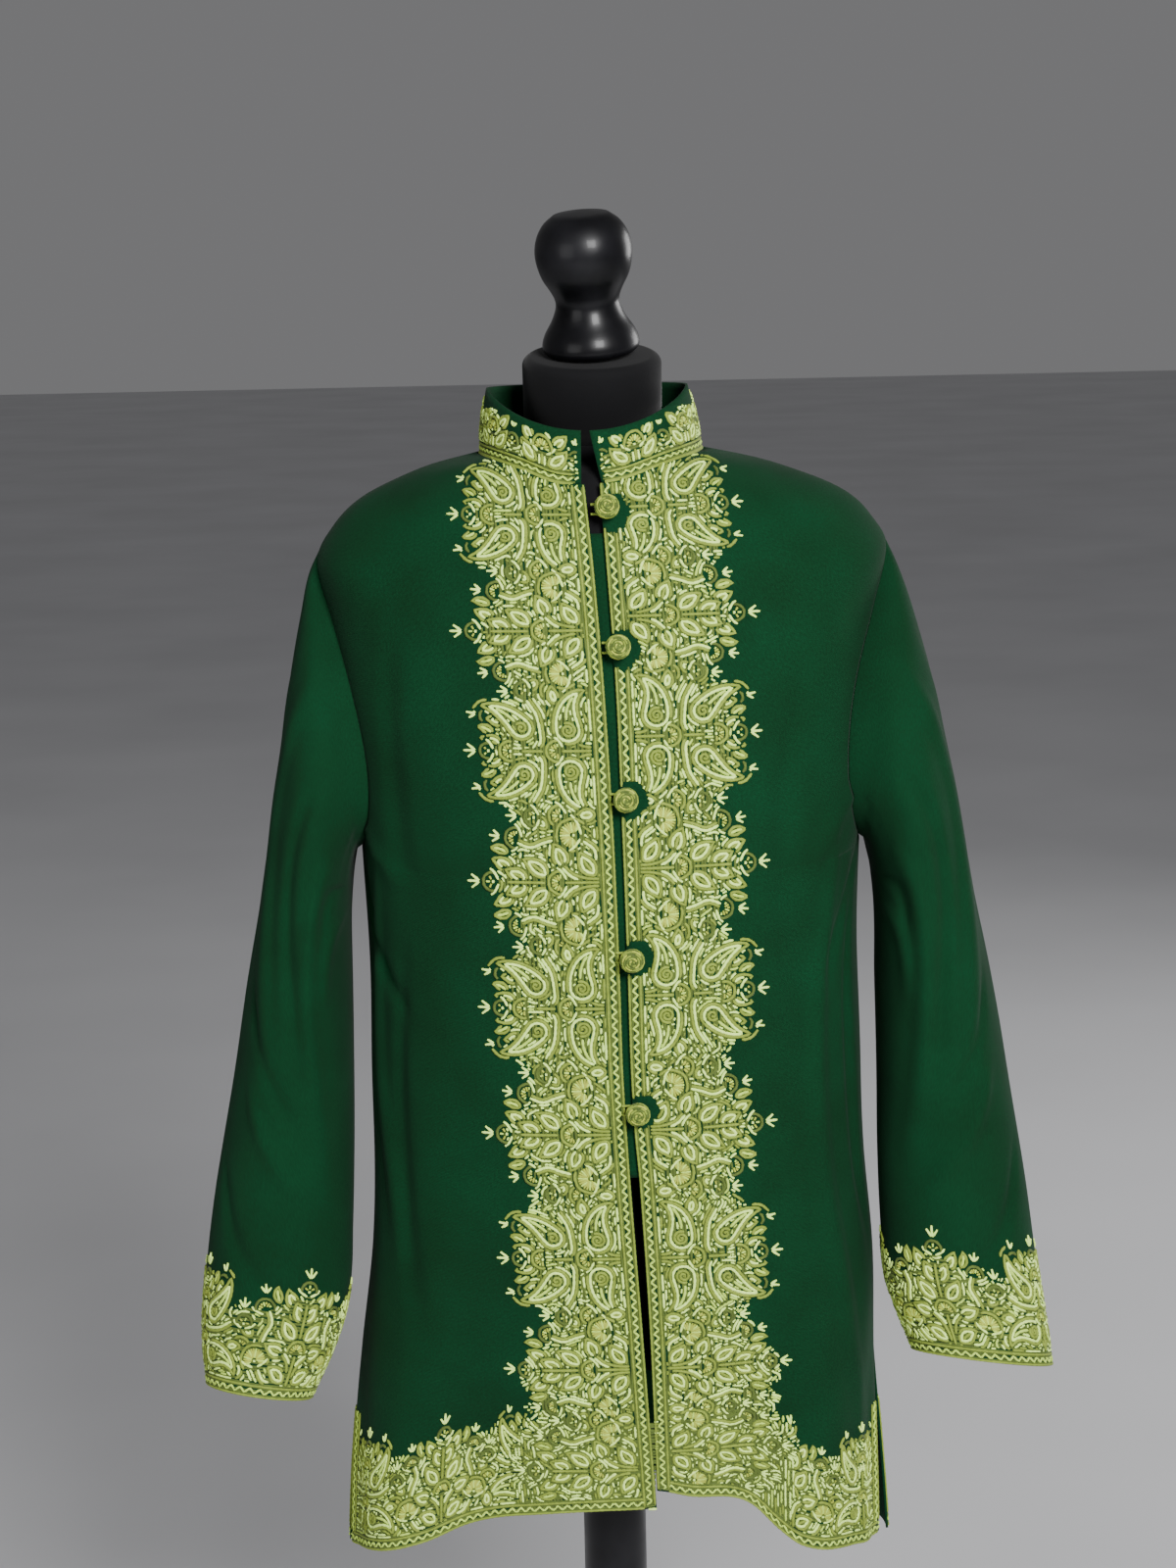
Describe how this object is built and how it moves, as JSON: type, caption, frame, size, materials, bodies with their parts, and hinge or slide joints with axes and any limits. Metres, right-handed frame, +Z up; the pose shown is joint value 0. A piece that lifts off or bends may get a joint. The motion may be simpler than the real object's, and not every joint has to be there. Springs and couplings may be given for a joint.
{
  "type": "jacket on dress form",
  "caption": "Hip-length green woollen jacket with a stand collar, long sleeves, ball buttons and embroidered borders, on a limbless dress form with a turned finial and round base.",
  "frame": {"origin": "centre of the base's underside, on the floor", "axes": "+Z up along the pole, the jacket's front faces -Y, +X is the wearer's left"},
  "size_m": [0.6338, 0.38, 1.571],
  "materials": {
    "green_wool": "fine woven wool, matt with a faint sheen, deep bottle green",
    "embroidery_thread": "stranded thread in chain stitch, pale green to olive, soft lustre",
    "form_jersey": "black jersey stretched over a smooth form, matt",
    "black_lacquer": "black lacquer over turned wood and tube, glossy"
  },
  "bodies": {
    "root": {"front_right": "green_wool", "front_left": "green_wool", "back": "green_wool", "sleeve_right": "green_wool", "sleeve_left": "green_wool", "collar": "green_wool", "underlap": "green_wool", "button_1": "embroidery_thread", "button_2": "embroidery_thread", "button_3": "embroidery_thread", "button_4": "embroidery_thread", "button_5": "embroidery_thread", "button_loop_1": "embroidery_thread", "button_loop_2": "embroidery_thread", "button_loop_3": "embroidery_thread", "button_loop_4": "embroidery_thread", "button_loop_5": "embroidery_thread", "torso": "form_jersey", "neck_block": "form_jersey", "finial": "black_lacquer", "pole": "black_lacquer", "base": "black_lacquer"}
  },
  "joints": []
}
